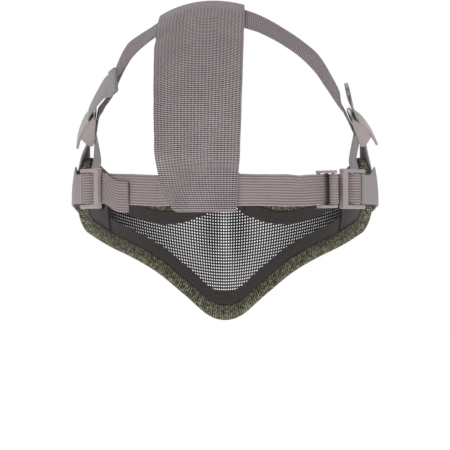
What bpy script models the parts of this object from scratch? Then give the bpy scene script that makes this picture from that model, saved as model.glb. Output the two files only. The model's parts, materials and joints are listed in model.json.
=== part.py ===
"""A half-face mask of steel mesh with a webbing head harness.

Metres, +Z up. The wearer faces -Y, and +X is the wearer's left. The origin is the middle of the wearer's head,
level with the nape strap. Straps are stored in the shape they take when the mask is worn.
"""

import bmesh
import bpy
from math import acos, atan2, cos, exp, hypot, pi, radians, sin, sqrt
from mathutils import Matrix, Vector

MM = 0.001
UP = Vector((0, 0, 1))

# Clearances between pieces that touch, between faceted curved faces, and between pieces that slide or turn.
REST_GAP = 0.3 * MM
FACET_GAP = 0.6 * MM
TRIM_GAP = 0.5 * MM
RUN_GAP = 0.35 * MM
SLEEVE_GAP = 0.9 * MM

# The pressed mesh shell: half-ellipse sections that get narrower towards the chin, with a nose ridge.
SHELL_THICK = 1.0 * MM
SHELL_HALF_WIDTH = 99 * MM
SHELL_DEPTH = 119 * MM
SHELL_REAR_Y = 5 * MM
WIDEST_Z = -6 * MM
DEEPEST_Z = -35 * MM
WIDTH_FALL = 4.5
DEPTH_FALL = 5.5
ARC_RADIUS = 108 * MM
NOSE_RISE = 10 * MM
NOSE_HALF = 15 * MM
NOSE_Z = -18 * MM
NOSE_TALL = 34 * MM

# The shell's outline over the arc length from the middle: chin to cheek, and nose to cheek.
SHELL_END = 163 * MM
END_ROUND = 20 * MM
END_Z = 4 * MM
LOWER_EDGE = ((0, -90), (20, -86), (42, -71), (64, -55), (86, -44), (112, -35), (140, -26), (163, -21))
UPPER_EDGE = ((0, 17), (10, 14.5), (24, 4), (40, -3), (60, -4), (85, 2), (110, 11), (138, 20), (163, 25))
SHELL_ROWS = 9
# Arc lengths from the middle at which the shell and what follows its edge are drawn.
STATIONS = (0, 4, 8, 12, 17, 23, 30, 38, 47, 57, 67, 77, 87, 97, 106, 114, 124, 133, 141, 147, 152, 156, 159.5, 162, 163)

# Trim roll round the edge: how far its flaps reach in from the edge, and how far it stands off the shell.
TRIM_OUTER_FLAP = 9 * MM
TRIM_INNER_FLAP = 6.5 * MM
TRIM_OUTER_RISE = 2.6 * MM
TRIM_INNER_RISE = 3.6 * MM
TRIM_OVERHANG = 3.2 * MM
TRIM_FLAP_THICK = 0.8 * MM

LINING_REACH = 17 * MM
LINING_THICK = 2.2 * MM
LINING_END = 114 * MM
PAD_FRONT = 116 * MM
NOSE_PAD_THICK = 4 * MM
NOSE_PAD_HALF = 17 * MM

WEBBING_WIDTH = 20 * MM
WEBBING_THICK = 1.2 * MM
ELASTIC_WIDTH = 20 * MM
ELASTIC_THICK = 1.5 * MM
CHEEK_TAB_WIDTH = 25 * MM
CHEEK_TAB_FRONT = 119 * MM
TAB_DROP = 10.5 * MM
PANEL_THICK = 1.6 * MM
PANEL_LEFT = 42.3 * MM
PANEL_RIGHT = -10 * MM
PANEL_RETURN = 6 * MM
# The panel's right and left edges at heights from its foot to its top: the lower left corner is rounded off.
PANEL_EDGES = (
    (-14, -6.9, 30), (-10, -6.9, 33.5), (0, -7.5, 38), (9.5, -8, 40.5), (19, -8.6, 42), (60, -9.9, 42.4),
    (100, -11.4, 42.6), (112, -11.6, 41), (124, -11.6, 39.5),
)

RIVET_SHANK = 1.6 * MM
RIVET_HEAD = 4.0 * MM
RIVET_HEAD_TALL = 1.5 * MM
WASHER_THICK = 0.8 * MM
WASHER_RADIUS = 4.2 * MM
REAR_RIVET_S = 150 * MM
FRONT_RIVET_S = 125.5 * MM

# Buckles: bars are round where something turns on them.
BAR_RADIUS = 1.5 * MM
SIDE_RAIL = 2.8 * MM
BUCKLE_LENGTH = 22 * MM
BUCKLE_THICK = 4 * MM
CROSSBAR_AT = 6.8 * MM
INNER_RAIL = 5.6 * MM
LOCK_LENGTH = 19 * MM
LOCK_CROSSBAR_AT = 8 * MM
LOCK_TOP_BAR_AT = 17 * MM
LIP_RISE = 7.5 * MM
SLIDER_HALF = 6.5 * MM
SLIDER_SIDE = 1.8 * MM
SLIDER_BAR_RADIUS = 1.2 * MM

# Where each buckle's hinge bar lies, its direction along the strap and its outward direction.
BUCKLE_LEFT = (Vector((96, 8.5, 2.4)) * MM, Vector((-0.572, 0.82, 0)), Vector((0.82, 0.572, 0)))
BUCKLE_RIGHT = (Vector((-92.8, 10.5, 2.2)) * MM, Vector((0.70, 0.714, 0)), Vector((-0.714, 0.70, 0)))
LOCK_LEFT = (Vector((91.5, -6, 38)) * MM, Vector((-0.12, 0.40, 0.91)), Vector((0.98, 0.1, 0.08)))
LOCK_RIGHT = (Vector((-92.5, -6, 38)) * MM, Vector((0.36, 0.42, 0.83)), Vector((-0.92, 0.1, 0.36)))

# The nape strap runs round a circle and leaves it along its tangents.
NAPE_RADIUS = 58 * MM
NAPE_CENTRE = Vector((0, 28, 0)) * MM
SLIDER_AT = 11 * MM

# A head-sized ellipsoid, which the crown strap and the back panel lie on.
HEAD_CENTRE = Vector((0, 4, 40)) * MM
HEAD_RADII = Vector((76, 93, 91)) * MM
# The crown strap's rear and front edges, from the left lock to the back panel and from the panel to the right.
CROWN_LEFT = (
    ((81, 13, 58), (80, -5, 67)),
    ((75, 15.5, 66), (77, -2.5, 77)),
    ((70.7, 18.5, 75.6), (73.5, 1.5, 87)),
    ((65.5, 27, 83.5), (68, 10, 97)),
    ((59.5, 35.5, 90), (62.5, 17, 102.5)),
)
CROWN_RIGHT = (
    ((-23.5, 69.8, 99.4), (-27.8, 52.7, 111.3)),
    ((-36.4, 66.3, 93.5), (-42.2, 49.6, 102.7)),
    ((-48.1, 60.5, 85.8), (-52.3, 43, 97)),
    ((-58.3, 52.4, 77.1), (-61.5, 36, 90)),
    ((-66, 43.5, 68.1), (-69.5, 27, 79)),
    ((-74.5, 31, 58), (-76.5, 13.5, 68.5)),
    ((-80, 16.1, 53.7), (-78.6, -1.8, 62.1)),
)
CROWN_TILT_LEFT = radians(32)
CROWN_TILT_RIGHT = radians(40.7)
CROWN_LIFT = 3.0 * MM


# ---------------------------------------------------------------- helpers
def material(name, colour, rough, metal=0.0):
    m = bpy.data.materials.get(name) or bpy.data.materials.new(name)
    m.use_nodes = True
    shader = m.node_tree.nodes["Principled BSDF"]
    shader.inputs["Base Color"].default_value = (*colour, 1)
    shader.inputs["Roughness"].default_value = rough
    shader.inputs["Metallic"].default_value = metal
    return m


STEEL = ("black steel", (0.02, 0.02, 0.02), 0.45, 0.8)
OLIVE = ("olive trim fabric", (0.08, 0.075, 0.05), 0.9)
LINING = ("dark lining", (0.03, 0.025, 0.025), 0.9)
WEBBING = ("grey webbing", (0.23, 0.2, 0.205), 0.85)
ELASTIC = ("grey elastic", (0.28, 0.245, 0.24), 0.85)
PLASTIC = ("grey plastic", (0.32, 0.29, 0.28), 0.5)
RIVET_METAL = ("blackened rivet", (0.03, 0.03, 0.03), 0.4, 0.9)


def add(name, mesh, finish, frame=None):
    obj = bpy.data.objects.new(name, mesh)
    parts.objects.link(obj)
    mesh.materials.append(material(*finish))
    if frame:
        obj.matrix_world = frame
    return obj


def finished(bm, name):
    bmesh.ops.remove_doubles(bm, verts=bm.verts, dist=1e-7)
    bmesh.ops.recalc_face_normals(bm, faces=bm.faces)
    mesh = bpy.data.meshes.new(name)
    bm.to_mesh(mesh)
    bm.free()
    return mesh


def grid(name, rows):
    """A sheet of quads through rows of points. The grid operator's own corners say which point goes where."""
    across, along = len(rows[0]) - 1, len(rows) - 1
    bm = bmesh.new()
    bmesh.ops.create_grid(bm, x_segments=along, y_segments=across, size=1)
    for v in bm.verts:
        v.co = rows[round((v.co.x + 1) / 2 * along)][round((v.co.y + 1) / 2 * across)]
    return finished(bm, name)


def sheet(name, rows, thick, finish):
    """A cloth or shell piece: a sheet of quads made solid to both sides of its middle."""
    obj = add(name, grid(name, rows), finish)
    solid = obj.modifiers.new("thickness", "SOLIDIFY")
    solid.thickness, solid.offset, solid.use_even_offset = thick, 0, True
    obj.data.shade_smooth()
    return obj


def smooth(points, steps):
    """A Catmull-Rom curve through the points, with that many steps from each point to the next."""
    p = [2 * points[0] - points[1], *points, 2 * points[-1] - points[-2]]
    out = []
    for a, b, c, d in zip(p, p[1:], p[2:], p[3:]):
        for i in range(steps):
            t = i / steps
            out.append(
                0.5 * (2 * b + (c - a) * t + (2 * a - 5 * b + 4 * c - d) * t**2 + (3 * b - a - 3 * c + d) * t**3)
            )
    return [*out, points[-1]]


def hermite(points, x):
    """A smooth value at x through (x, value) points that are level at the first."""
    i = min(max(k for k, p in enumerate(points) if p[0] <= x), len(points) - 2)
    slopes = [0.0]
    for a, b, c in zip(points, points[1:], points[2:]):
        slopes.append((c[1] - a[1]) / (c[0] - a[0]))
    slopes.append((points[-1][1] - points[-2][1]) / (points[-1][0] - points[-2][0]))
    (x0, y0), (x1, y1) = points[i], points[i + 1]
    h = x1 - x0
    t = (x - x0) / h
    return (
        (2 * t**3 - 3 * t**2 + 1) * y0
        + (t**3 - 2 * t**2 + t) * h * slopes[i]
        + (3 * t**2 - 2 * t**3) * y1
        + (t**3 - t**2) * h * slopes[i + 1]
    )


def frame_of(origin, along, out):
    """The matrix of a buckle's own frame: x along the strap, y across it and z outwards."""
    x = along.normalized()
    z = (out - out.dot(x) * x).normalized()
    m = Matrix((x, z.cross(x), z)).transposed().to_4x4()
    m.translation = origin
    return m


def arc(u, n, radius, start, end, steps=8):
    """Points of an arc in the (along, outwards) plane, angles in degrees from +along towards outwards."""
    angles = [radians(start + (end - start) * i / steps) for i in range(steps + 1)]
    return [(u + radius * cos(a), n + radius * sin(a)) for a in angles]


def placed(frame, route, width, shift=0.0):
    """Rows of a strap that runs along a route of (along, outwards) points in a buckle's frame."""
    return [
        [frame @ Vector((u, shift - width / 2, n)), frame @ Vector((u, shift + width / 2, n))] for u, n in route
    ]


def block(size, at=(0, 0, 0)):
    """A box as a bmesh, for the bars and rails of the buckles."""
    bm = bmesh.new()
    bmesh.ops.create_cube(bm, size=1)
    bmesh.ops.scale(bm, vec=size, verts=bm.verts)
    bmesh.ops.translate(bm, vec=at, verts=bm.verts)
    return bm


def rod(radius, length, at, sides=10):
    """A round bar across the strap."""
    bm = bmesh.new()
    bmesh.ops.create_cone(bm, cap_ends=True, segments=sides, radius1=radius, radius2=radius, depth=length)
    bmesh.ops.rotate(bm, matrix=Matrix.Rotation(pi / 2, 3, "X"), verts=bm.verts)
    bmesh.ops.translate(bm, vec=at, verts=bm.verts)
    return bm


def plate(outline, thick, at):
    """A flat outline in the (along, outwards) plane, as thick as a side rail, centred across at that place."""
    bm = bmesh.new()
    face = bm.faces.new([bm.verts.new((u, at - thick / 2, n)) for u, n in outline])
    made = bmesh.ops.extrude_face_region(bm, geom=[face])["geom"]
    moved = [e for e in made if isinstance(e, bmesh.types.BMVert)]
    bmesh.ops.translate(bm, vec=(0, thick, 0), verts=moved)
    return bm


def boolean(obj, other, operation):
    """Joins or cuts one object with another for good."""
    mod = obj.modifiers.new(operation, "BOOLEAN")
    mod.operation, mod.solver, mod.object = operation, "EXACT", other
    done = bpy.data.meshes.new_from_object(obj.evaluated_get(bpy.context.evaluated_depsgraph_get()))
    obj.modifiers.clear()
    obj.data = done


def joined(name, shapes, finish):
    """One solid from overlapping shapes."""
    whole = add(name, finished(shapes[0], name), finish)
    for shape in shapes[1:]:
        other = bpy.data.objects.new("piece", finished(shape, "piece"))
        cutters.objects.link(other)
        boolean(whole, other, "UNION")
        bpy.data.objects.remove(other)
    return whole


def curve_between(start, end, steps):
    return [start.lerp(end, i / steps) for i in range(steps + 1)]


# ---------------------------------------------------------------- the mask
def shell_point(s, z, out=0.0):
    """A point at arc length s from the middle and height z, that far outwards of the shell's middle surface."""

    def middle(s, z):
        turn = s / ARC_RADIUS
        ridge = NOSE_RISE * exp(-((s / NOSE_HALF) ** 2) - ((z - NOSE_Z) / NOSE_TALL) ** 2)
        half = SHELL_HALF_WIDTH - WIDTH_FALL * (z - WIDEST_Z) ** 2
        depth = SHELL_DEPTH - DEPTH_FALL * (z - DEEPEST_Z) ** 2 + ridge
        return Vector((half * sin(turn), SHELL_REAR_Y - depth * cos(turn), z))

    e = 0.1 * MM
    normal = (middle(s + e, z) - middle(s - e, z)).cross(middle(s, z + e) - middle(s, z - e)).normalized()
    return middle(s, z) + out * normal


def edge_height(edge, s, inset=0.0):
    """The height of the shell's lower or upper edge at arc length s, rounded off at the rear."""
    sign = 1 if edge is LOWER_EDGE else -1
    reach = SHELL_END - inset
    rounding = END_ROUND - inset
    flat = hermite(edge, min(abs(s), reach) / MM) * MM + sign * inset
    over = min(max(0.0, (abs(s) - reach + rounding) / rounding), 1.0)
    return END_Z + (flat - END_Z) * sqrt(1 - over**2)


def stations(reach=SHELL_END):
    """The drawn arc lengths from one side to the other, out to that reach."""
    half = [s * MM for s in STATIONS if s * MM <= reach]
    return [-s for s in reversed(half[1:])] + half


def make_shell():
    rows = []
    for s in stations():
        low, high = edge_height(LOWER_EDGE, s), edge_height(UPPER_EDGE, s)
        rows.append([shell_point(s, low + (high - low) * j / SHELL_ROWS) for j in range(SHELL_ROWS + 1)])
    return sheet("steel_mesh", rows, SHELL_THICK, STEEL)


def make_trim():
    """A rolled edging with a flap on each face of the shell, drawn round the whole edge."""
    there = [Vector((s, edge_height(LOWER_EDGE, s))) for s in stations()]
    back = [Vector((s, edge_height(UPPER_EDGE, s))) for s in reversed(stations())]
    line = there[:-1] + back[:-1]
    face = SHELL_THICK / 2 + TRIM_GAP
    section = (
        (TRIM_OUTER_FLAP, face),
        (TRIM_OUTER_FLAP, face + TRIM_FLAP_THICK),
        (4 * MM, TRIM_OUTER_RISE),
        (-0.5 * MM, TRIM_OUTER_RISE),
        (-2.6 * MM, 1.2 * MM),
        (-TRIM_OVERHANG, -0.6 * MM),
        (-2.4 * MM, -2.4 * MM),
        (-0.5 * MM, -TRIM_INNER_RISE),
        (TRIM_INNER_FLAP, -TRIM_INNER_RISE + 0.8 * MM),
        (TRIM_INNER_FLAP, -face),
        (3 * MM, -face),
        (-REST_GAP, -face),
        (-REST_GAP, face),
        (4 * MM, face),
    )
    rows = []
    for i, p in enumerate(line):
        ahead = (line[(i + 1) % len(line)] - line[i - 1]).normalized()
        side = Vector((-ahead.y, ahead.x))
        rows.append([shell_point(*(p + b * side), n) for b, n in section])
    rows.append(rows[0])
    rows = [[*row, row[0]] for row in rows]
    return add("edge_trim", grid("edge_trim", rows), OLIVE)


def make_lining(name, edge):
    """A band inside the shell, from the trim's inner flap to the open mesh."""
    sign = 1 if edge is LOWER_EDGE else -1
    depth = -SHELL_THICK / 2 - FACET_GAP - LINING_THICK / 2
    near = TRIM_INNER_FLAP + 0.5 * MM
    rows = []
    for s in stations(LINING_END):
        slope = (edge_height(edge, s + 1 * MM) - edge_height(edge, s - 1 * MM)) / (2 * MM)
        edge_z = edge_height(edge, s)
        stretch = sign * sqrt(1 + slope**2)
        rows.append([shell_point(s, edge_z + stretch * b, depth) for b in (near, (near + LINING_REACH) / 2, LINING_REACH)])
    return sheet(name, rows, LINING_THICK, LINING)


def make_wing_pad(name, side):
    """A pad that lines the rear of a wing inside the trim."""
    inset = TRIM_INNER_FLAP + 1.2 * MM
    depth = -SHELL_THICK / 2 - FACET_GAP - LINING_THICK / 2
    rows = []
    for i in range(9):
        s = PAD_FRONT + (SHELL_END - inset - 1 * MM - PAD_FRONT) * i / 8
        low, high = edge_height(LOWER_EDGE, s, inset), edge_height(UPPER_EDGE, s, inset)
        rows.append([shell_point(side * s, low + (high - low) * j / 4, depth) for j in range(5)])
    return sheet(name, rows, LINING_THICK, LINING)


def make_nose_pad():
    """A foam pad that rests on the wearer's nose, inside the upper lining."""
    depth = -SHELL_THICK / 2 - 2 * FACET_GAP - LINING_THICK - NOSE_PAD_THICK / 2
    rows = []
    for s in stations(NOSE_PAD_HALF):
        top = edge_height(UPPER_EDGE, s) - 8 * MM
        rows.append([shell_point(s, top - 11 * MM * j / 2, depth) for j in range(3)])
    return sheet("nose_pad", rows, NOSE_PAD_THICK, LINING)


# ---------------------------------------------------------------- tabs, rivets and buckles
def tab_height(s):
    """The cheek tab follows the middle of the wing forwards."""
    t = min(1.0, (SHELL_END - s) / (SHELL_END - FRONT_RIVET_S))
    return END_Z - TAB_DROP * t


OUTER_STACK = TRIM_OUTER_RISE + FACET_GAP + WEBBING_THICK / 2
TAB_STACK = OUTER_STACK + WEBBING_THICK + FACET_GAP
TAB_FOOT = SHELL_THICK / 2 + TRIM_GAP + TRIM_FLAP_THICK + REST_GAP + WEBBING_THICK
INNER_STACK = -(TRIM_INNER_RISE + FACET_GAP + WEBBING_THICK / 2)
LOOP_RADIUS = BAR_RADIUS + REST_GAP + WEBBING_THICK / 2


def make_cheek_tab(name, side, frame):
    """Webbing on the outside of the wing that loops round the buckle's hinge bar."""
    low = TAB_FOOT
    loop = [(u, n) for u, n in arc(0, 0, LOOP_RADIUS, 90, -90)]
    inner = [(-2.5 * MM, -2.0 * MM), (-5 * MM, -0.6 * MM), (-7.5 * MM, 0.7 * MM)]
    columns = []
    for share in (-1, -0.5, 0, 0.5, 1):
        line = []
        for s in (CHEEK_TAB_FRONT, 124 * MM, 131 * MM, 134.5 * MM, 138 * MM, 144 * MM, 151 * MM, 158 * MM, 163.5 * MM):
            rise = min(1.0, max(0.0, (s - 131 * MM) / (7 * MM)))
            z = tab_height(s) + share * CHEEK_TAB_WIDTH / 2
            line.append(shell_point(side * s, z, low + (TAB_STACK - low) * rise))
        narrow = side * share * WEBBING_WIDTH / 2
        line.append(frame @ Vector((-5 * MM, narrow, LOOP_RADIUS + 0.3 * MM)))
        line.append(frame @ Vector((loop[0][0], narrow, loop[0][1])))
        columns.append(smooth(line, 2) + [frame @ Vector((u, narrow, n)) for u, n in (*loop[1:], *inner)])
    return sheet(name, [list(row) for row in zip(*columns)], WEBBING_THICK, WEBBING)


def make_upper_tab(name, side, frame):
    """Webbing that straddles the wing's upper edge and carries the ladder lock's hinge bar in its loop."""
    loop = [(u, n) for u, n in arc(0, 0, LOOP_RADIUS, -90, 90)]
    heights = [z * MM for z in (-9, -2, 5, 12, 19, 25)]
    columns = []
    for share in (-1, -0.5, 0, 0.5, 1):
        s = side * (REAR_RIVET_S - share * WEBBING_WIDTH / 2)
        narrow = side * share * WEBBING_WIDTH / 2
        turn = [frame @ Vector((u, narrow, n)) for u, n in loop]
        inside = [shell_point(s, z, INNER_STACK) for z in heights]
        outside = [shell_point(s, z, OUTER_STACK) for z in reversed(heights)]
        columns.append([*smooth([*inside, turn[0]], 2), *turn[1:-1], *smooth([turn[-1], *outside], 2)])
    return sheet(name, [list(row) for row in zip(*columns)], WEBBING_THICK, WEBBING)


def rivet_frame(side, s):
    z = tab_height(s)
    foot, tip = shell_point(side * s, z), shell_point(side * s, z, 1 * MM)
    m = (tip - foot).to_track_quat("Z", "Y").to_matrix().to_4x4()
    m.translation = foot
    return m


def make_rivet(name, side, s, outer, inner):
    """A turned rivet: a domed head outside, a shank through the layers and a closed end inside."""
    head = outer + WEBBING_THICK / 2 + REST_GAP
    tail = inner - REST_GAP - WASHER_THICK - REST_GAP
    profile = (
        (0, head + RIVET_HEAD_TALL),
        (RIVET_HEAD * 0.6, head + RIVET_HEAD_TALL * 0.8),
        (RIVET_HEAD, head + 0.3 * MM),
        (RIVET_HEAD, head),
        (RIVET_SHANK, head),
        (RIVET_SHANK, tail),
        (RIVET_SHANK + 1.1 * MM, tail),
        (RIVET_SHANK + 0.9 * MM, tail - 0.8 * MM),
        (0, tail - 1.0 * MM),
    )
    return turned(name, profile, rivet_frame(side, s), RIVET_METAL)


def turned(name, profile, frame, finish, closed=False):
    bm = bmesh.new()
    verts = [bm.verts.new((r, 0, z)) for r, z in profile]
    pairs = list(zip(verts, verts[1:])) + ([(verts[-1], verts[0])] if closed else [])
    edges = [bm.edges.new(p) for p in pairs]
    bmesh.ops.spin(
        bm, geom=[*verts, *edges], axis=(0, 0, 1), cent=(0, 0, 0), angle=2 * pi, steps=12, use_merge=True
    )
    obj = add(name, finished(bm, name), finish, frame)
    obj.data.shade_smooth()
    return obj


def make_washer(name, side, s, inner):
    top, hole = inner - REST_GAP, RIVET_SHANK + REST_GAP
    profile = ((hole, top), (WASHER_RADIUS, top), (WASHER_RADIUS, top - WASHER_THICK), (hole, top - WASHER_THICK))
    return turned(name, profile, rivet_frame(side, s), RIVET_METAL, closed=True)


def drill(side, s, pieces):
    """Cuts the rivet's hole through each layer that it passes."""
    bm = bmesh.new()
    hole = RIVET_SHANK + REST_GAP
    bmesh.ops.create_cone(bm, cap_ends=True, segments=12, radius1=hole, radius2=hole, depth=30 * MM)
    cutter = bpy.data.objects.new("rivet_hole", finished(bm, "rivet_hole"))
    cutters.objects.link(cutter)
    cutter.matrix_world = rivet_frame(side, s)
    bpy.context.view_layer.update()
    for piece in pieces:
        boolean(piece, cutter, "DIFFERENCE")
    bpy.data.objects.remove(cutter)


def make_buckle(name, frame):
    """A frame buckle: a round hinge bar, a round crossbar and a broad rail at the strap's end."""
    gap_half = WEBBING_WIDTH / 2 + 0.6 * MM
    half = gap_half + SIDE_RAIL
    rail_at = gap_half + SIDE_RAIL / 2
    length = BUCKLE_LENGTH + BAR_RADIUS
    middle = (BUCKLE_LENGTH - BAR_RADIUS) / 2
    sides = [block((length, SIDE_RAIL, BUCKLE_THICK), (middle, y, 0)) for y in (-rail_at, rail_at)]
    for bm in sides:
        bmesh.ops.bevel(bm, geom=bm.edges[:], offset=0.7 * MM, segments=2, profile=0.5, affect="EDGES", material=-1)
    end = block((INNER_RAIL, 2 * half - 1.2 * MM, BUCKLE_THICK - 0.6 * MM), (BUCKLE_LENGTH - INNER_RAIL / 2, 0, 0))
    bmesh.ops.bevel(end, geom=end.edges[:], offset=0.7 * MM, segments=2, profile=0.5, affect="EDGES", material=-1)
    reach = 2 * gap_half + 2 * MM
    bars = [rod(BAR_RADIUS, reach, (0, 0, 0)), rod(BAR_RADIUS, reach, (CROSSBAR_AT, 0, 0))]
    obj = joined(name, [end, *sides, *bars], PLASTIC)
    obj.matrix_world = frame
    return obj


def make_lock(name, frame):
    """A ladder lock: three bars between side cheeks that rise to a thumb lip over the lower half."""
    gap_half = WEBBING_WIDTH / 2 + 0.6 * MM
    cheek_at = gap_half + SIDE_RAIL / 2
    outline = [
        (-2.0, -1.6), (18.6, -1.6), (18.8, 1.0), (14.5, 4.2), (11.5, 7.0), (9.5, 7.0), (-4.6, 9.6), (-5.2, 8.2),
        (-2.0, 4.0), (-2.4, 1.2),
    ]
    outline = [(u * MM, n * MM) for u, n in outline]
    cheeks = [plate(outline, SIDE_RAIL, y) for y in (-cheek_at, cheek_at)]
    lip = plate([(u * MM, n * MM) for u, n in ((11.3, 5.4), (11.3, 6.8), (-4.6, 9.4), (-5.0, 8.1))], 2 * cheek_at, 0)
    reach = 2 * gap_half + 2 * MM
    bars = [rod(BAR_RADIUS, reach, (u, 0, 0)) for u in (0, LOCK_CROSSBAR_AT, LOCK_TOP_BAR_AT)]
    obj = joined(name, [*cheeks, lip, *bars], PLASTIC)
    obj.matrix_world = frame
    return obj


# ---------------------------------------------------------------- the nape strap
def nape_run(frame, side):
    """The elastic's end beside a buckle, its tangent point on the nape circle and the angle there."""
    end = frame @ Vector((BUCKLE_LENGTH + 2 * MM, 0, NAPE_LAYER))
    flat = end - NAPE_CENTRE
    far = hypot(flat.x, flat.y)
    angle = atan2(flat.y, flat.x) + side * acos(NAPE_RADIUS / far)
    touch = NAPE_CENTRE + NAPE_RADIUS * Vector((cos(angle), sin(angle), 0))
    return end, Vector((touch.x, touch.y, 0)), angle


RETURN_LAYER = -(BUCKLE_THICK / 2 - 0.3 * MM + 0.4 * MM + ELASTIC_THICK / 2)
NAPE_LAYER = RETURN_LAYER - ELASTIC_THICK - FACET_GAP
ELASTIC_LOOP = BAR_RADIUS + REST_GAP + ELASTIC_THICK / 2


def make_nape_elastic():
    left_end, left_touch, left_angle = nape_run(FRAMES["buckle_left"], 1)
    right_end, right_touch, right_angle = nape_run(FRAMES["buckle_right"], -1)
    right_angle %= 2 * pi
    turn = right_angle - left_angle
    bow = [
        NAPE_CENTRE + NAPE_RADIUS * Vector((cos(left_angle + turn * i / 32), sin(left_angle + turn * i / 32), 0))
        for i in range(33)
    ]
    left = curve_between(left_end, left_touch, 4)
    right = curve_between(right_touch, right_end, 4)
    rows = [[c - ELASTIC_WIDTH / 2 * UP, c + ELASTIC_WIDTH / 2 * UP] for c in [*left[:-1], *bow, *right[1:]]]
    return sheet("nape_elastic", rows, ELASTIC_THICK, ELASTIC)


def make_nape_loop(name, frame, tail):
    """The elastic's end: in under the rail, round the crossbar and back out as a second layer."""
    route = [
        (BUCKLE_LENGTH + 1.6 * MM, NAPE_LAYER),
        (BUCKLE_LENGTH - 6 * MM, NAPE_LAYER),
        (CROSSBAR_AT + 5 * MM, NAPE_LAYER + 1.2 * MM),
        *arc(CROSSBAR_AT, 0, ELASTIC_LOOP, -70, -290, 10),
        (CROSSBAR_AT + 4 * MM, 1.4 * MM),
        (CROSSBAR_AT + 7 * MM, RETURN_LAYER + 1.2 * MM),
        (BUCKLE_LENGTH - 5 * MM, RETURN_LAYER),
        (BUCKLE_LENGTH + 1.0 * MM, RETURN_LAYER),
    ]
    rows = placed(frame, route, ELASTIC_WIDTH)
    return sheet(name, [*rows, *tail], ELASTIC_THICK, ELASTIC)


def tail_rows(end, touch, frame, length, drop):
    """The second layer beyond the buckle, on the outside of the nape strap."""
    along = (touch - end).normalized()
    out = along.cross(UP).normalized() * (1 if frame.translation.x > 0 else -1)
    rows = []
    steps = 6
    start = end + (ELASTIC_THICK + FACET_GAP) * out
    for i in range(1, steps + 1):
        t = i / steps
        c = start + along * length * t - drop * min(1, 2 * t) * UP
        across = ELASTIC_WIDTH / 2 * frame.col[1].xyz
        rows.append([c - across, c + across])
    return rows


def make_slider(frame):
    """A bowed slider: the elastic runs straight over its end rails and under its centre bar."""
    gap_half = ELASTIC_WIDTH / 2 + 0.6 * MM
    low = -ELASTIC_THICK / 2 - RUN_GAP
    bar = slider_bar_height()
    foot, top, half = -3.2 * MM, bar + SLIDER_BAR_RADIUS + 0.5 * MM, SLIDER_HALF
    outline = [(-half, foot), (half, foot), (half, -1 * MM), (2.4 * MM, top), (-2.4 * MM, top), (-half, -1 * MM)]
    side_at = gap_half + SLIDER_SIDE / 2
    cheeks = [plate(outline, SLIDER_SIDE, y) for y in (-side_at, side_at)]
    rail = Vector((2.2 * MM, 2 * gap_half + 2 * MM, 1.7 * MM))
    rails = [block(rail, (u, 0, low - rail.z / 2)) for u in (rail.x / 2 - half, half - rail.x / 2)]
    bars = [rod(SLIDER_BAR_RADIUS, 2 * gap_half + 2 * MM, (0, 0, bar))]
    obj = joined("slider_right", [*cheeks, *rails, *bars], PLASTIC)
    obj.matrix_world = frame
    return obj


def slider_bar_height():
    """The centre bar clears both elastic layers and the band that is sewn round it."""
    return ELASTIC_THICK * 1.5 + 2 * FACET_GAP + RUN_GAP + WEBBING_THICK + SLIDER_BAR_RADIUS


def make_slider_band(frame):
    """The elastic's sewn end on the slider's centre bar: a closed ring."""
    inner = SLIDER_BAR_RADIUS + REST_GAP
    bm = bmesh.new()
    bmesh.ops.create_circle(bm, segments=14, radius=inner + WEBBING_THICK)
    ring = bm.edges[:]
    bmesh.ops.rotate(bm, matrix=Matrix.Rotation(pi / 2, 3, "X"), verts=bm.verts)
    bmesh.ops.translate(bm, vec=(0, -ELASTIC_WIDTH / 2, slider_bar_height()), verts=bm.verts)
    made = bmesh.ops.extrude_edge_only(bm, edges=ring)["geom"]
    moved = [e for e in made if isinstance(e, bmesh.types.BMVert)]
    bmesh.ops.translate(bm, vec=(0, ELASTIC_WIDTH, 0), verts=moved)
    bmesh.ops.recalc_face_normals(bm, faces=bm.faces)
    obj = add("slider_band", finished(bm, "slider_band"), ELASTIC, frame)
    solid = obj.modifiers.new("thickness", "SOLIDIFY")
    solid.thickness, solid.offset = WEBBING_THICK, -1
    return obj


# ---------------------------------------------------------------- the crown strap and the back panel
def head_point(x, tilt, lift):
    """A point at that side place, tilted back from the top of the head and lifted straight off it."""
    share = sqrt(1 - (x / HEAD_RADII.x) ** 2)
    away = Vector((x, HEAD_RADII.y * share * sin(tilt), HEAD_RADII.z * share * cos(tilt)))
    normal = Vector([d / r**2 for d, r in zip(away, HEAD_RADII)]).normalized()
    return HEAD_CENTRE + away + lift * normal


def tilt_over(x, length):
    """The change of tilt that moves a point that far over the head."""
    return length / (HEAD_RADII.y * sqrt(1 - (x / HEAD_RADII.x) ** 2))


def crown_tilt(x):
    """How far back the crown strap's middle line lies where the back panel crosses it."""
    t = (x - PANEL_RIGHT) / (PANEL_LEFT - PANEL_RIGHT)
    return CROWN_TILT_RIGHT + (CROWN_TILT_LEFT - CROWN_TILT_RIGHT) * t


def edge_pair(rear, front):
    rear, front = Vector(rear) * MM, Vector(front) * MM
    middle, across = (rear + front) / 2, (front - rear).normalized()
    return middle - across * WEBBING_WIDTH / 2, middle + across * WEBBING_WIDTH / 2


def make_crown_strap():
    left = [edge_pair(*pair) for pair in CROWN_LEFT]
    right = [edge_pair(*pair) for pair in CROWN_RIGHT]
    middle = []
    for i in range(6):
        x = PANEL_LEFT + 4 * MM - (PANEL_LEFT - PANEL_RIGHT + 8 * MM) * i / 5
        half = tilt_over(x, WEBBING_WIDTH / 2)
        tilt = crown_tilt(x)
        pair = (head_point(x, tilt + half, CROWN_LIFT), head_point(x, tilt - half, CROWN_LIFT))
        middle.append(pair)
    pairs = [*left, *middle, *right]
    rear = smooth([p[0] for p in pairs], 3)
    front = smooth([p[1] for p in pairs], 3)
    return sheet("crown_strap", [[a, b] for a, b in zip(rear, front)], WEBBING_THICK, WEBBING)


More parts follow.
